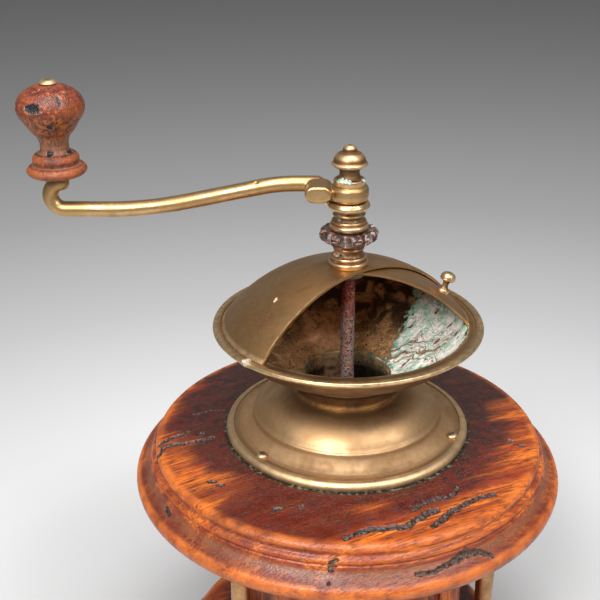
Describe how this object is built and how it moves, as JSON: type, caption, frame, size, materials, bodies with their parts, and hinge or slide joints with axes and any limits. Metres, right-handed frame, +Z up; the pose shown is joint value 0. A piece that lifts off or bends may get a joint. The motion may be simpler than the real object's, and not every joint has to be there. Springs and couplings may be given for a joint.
{
  "type": "hand crank coffee grinder",
  "caption": "Table coffee mill with a brass hopper, sliding dome door, crank with a wooden knob, turned wooden plates and a drawer in a square case.",
  "frame": {"origin": "centre of the base plate's underside, on the spindle's axis", "axes": "+Z up along the spindle; the drawer opens towards -Y; +X to the right of the drawer"},
  "size_m": [0.2329, 0.1988, 0.3145],
  "materials": {
    "plate_wood": "aged polish",
    "case_wood": "aged polish",
    "drawer_wood": "plain",
    "knob_wood": "worn polish",
    "brass": "aged",
    "iron": "rusted",
    "steel": "dull"
  },
  "bodies": {
    "mill_case": {"base_plate": "plate_wood", "top_plate": "plate_wood", "corner_posts": "case_wood", "left_panel": "case_wood", "right_panel": "case_wood", "back_panel": "case_wood", "front_panel": "case_wood", "mill_board": "case_wood", "drawer_guides": "drawer_wood", "right_column": "brass", "rear_column": "brass", "left_column": "brass", "base_screws": "steel", "hopper_flange": "brass", "flange_screws": "brass", "hopper_bowl": "brass", "hopper_cover": "brass", "top_bush": "brass", "bush_nut": "brass", "outer_burr": "iron", "bearing_bridge": "iron", "burr_screws": "steel", "bridge_screws": "steel"},
    "drawer": {"drawer_front": "case_wood", "drawer_left_side": "drawer_wood", "drawer_right_side": "drawer_wood", "drawer_back": "drawer_wood", "drawer_floor": "drawer_wood", "drawer_knob": "brass"},
    "door": {"hopper_door": "brass", "door_knob": "brass"},
    "adjuster": {"adjusting_wheel": "iron"},
    "crank": {"spindle": "iron", "spindle_collar": "brass", "crank_arm": "brass", "finial_nut": "brass", "knob_spindle": "brass", "inner_burr": "iron", "burr_pin": "steel"},
    "grip": {"crank_knob": "knob_wood"}
  },
  "joints": [
    {"name": "drawer_slide", "type": "slide", "parent": "mill_case", "child": "drawer", "axis": [0, -1, 0], "range_m": [0, 0.07]},
    {"name": "door_swing", "type": "hinge", "parent": "mill_case", "child": "door", "pos_m": [0, 0, 0.23], "axis": [0, 0, 1], "range_deg": [-132, 10]},
    {"name": "adjuster_turn", "type": "hinge", "parent": "mill_case", "child": "adjuster", "pos_m": [0, 0, 0.248], "axis": [0, 0, 1], "range_deg": [-180, 180]},
    {"name": "crank_turn", "type": "hinge", "parent": "mill_case", "child": "crank", "pos_m": [0, 0, 0.26], "axis": [0, 0, 1], "continuous": true},
    {"name": "grip_spin", "type": "hinge", "parent": "crank", "child": "grip", "pos_m": [-0.11899, 0.04476, 0.29], "axis": [0, 0, 1], "continuous": true}
  ]
}
